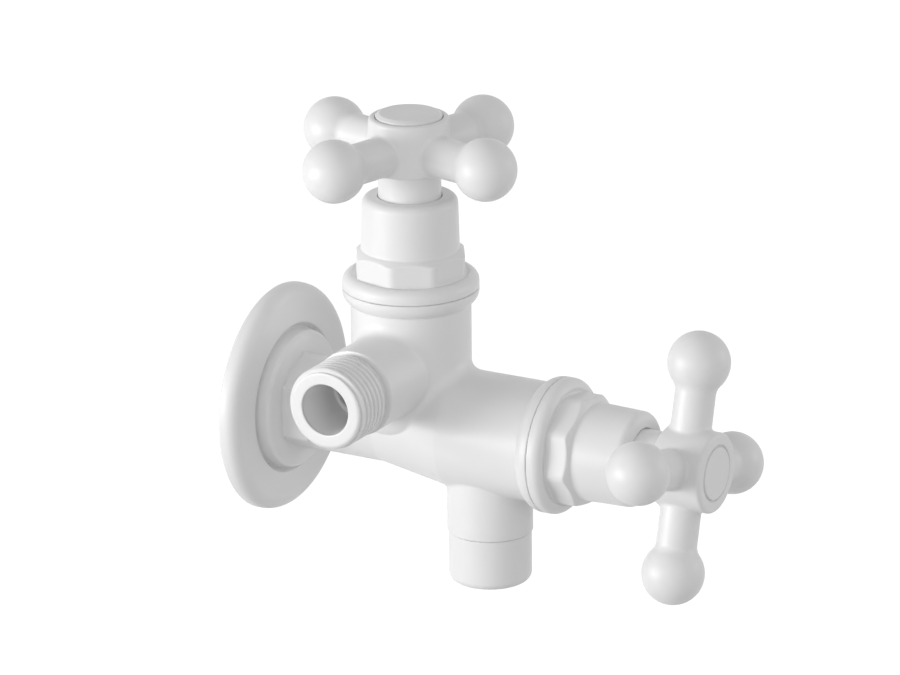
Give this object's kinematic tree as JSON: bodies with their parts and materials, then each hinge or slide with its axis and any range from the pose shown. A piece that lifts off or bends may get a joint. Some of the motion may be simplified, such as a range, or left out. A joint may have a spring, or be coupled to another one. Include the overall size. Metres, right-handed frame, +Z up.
{
  "type": "angle cock",
  "caption": "Two-way angle cock of white plastic: wall inlet, threaded side outlet and sleeved lower outlet, each shut by a rising spindle valve with a cross handle.",
  "frame": {"origin": "inlet axis at the wall plane, where the wall flange's back lies", "axes": "-Y out of the wall along the barrel, -X along the side outlet, +Z up along the upper valve"},
  "size_m": [0.0759, 0.1362, 0.1184],
  "materials": {
    "white_plastic": "glossy moulded white",
    "inner_plastic": "natural moulded",
    "rubber": "matte black",
    "brass": "turned",
    "steel": "zinc plated"
  },
  "bodies": {
    "cock_body": {"valve_body": "white_plastic", "wall_flange": "white_plastic", "outlet_sleeve": "white_plastic", "sleeve_washer": "rubber", "stream_insert": "inner_plastic", "outlet_mesh": "steel", "upper_bonnet": "white_plastic", "upper_bonnet_gasket": "rubber", "front_bonnet": "white_plastic", "front_bonnet_gasket": "rubber"},
    "upper_jumper": {"upper_jumper_valve": "inner_plastic", "upper_jumper_washer": "rubber", "upper_jumper_nut": "brass"},
    "upper_head": {"upper_spindle": "inner_plastic", "upper_spindle_rings": "rubber", "upper_handle": "white_plastic", "upper_handle_screw": "steel", "upper_index_button": "white_plastic"},
    "front_jumper": {"front_jumper_valve": "inner_plastic", "front_jumper_washer": "rubber", "front_jumper_nut": "brass"},
    "front_head": {"front_spindle": "inner_plastic", "front_spindle_rings": "rubber", "front_handle": "white_plastic", "front_handle_screw": "steel", "front_index_button": "white_plastic"}
  },
  "joints": [
    {"name": "upper_lift", "type": "slide", "parent": "cock_body", "child": "upper_jumper", "axis": [0, 0, 1], "range_m": [0, 0.006]},
    {"name": "upper_turn", "type": "hinge", "parent": "upper_jumper", "child": "upper_head", "pos_m": [0, -0.0395, 0.0706], "axis": [0, 0, 1], "range_deg": [0, 720]},
    {"name": "front_lift", "type": "slide", "parent": "cock_body", "child": "front_jumper", "axis": [0, -1, 0], "range_m": [0, 0.006]},
    {"name": "front_turn", "type": "hinge", "parent": "front_jumper", "child": "front_head", "pos_m": [0, -0.1164, 0], "axis": [0, -1, 0], "range_deg": [0, 720]}
  ],
  "couplings": [
    {"joint": "upper_lift", "follows": "upper_turn", "m_per_rad": 0.0004774},
    {"joint": "front_lift", "follows": "front_turn", "m_per_rad": 0.0004774}
  ]
}
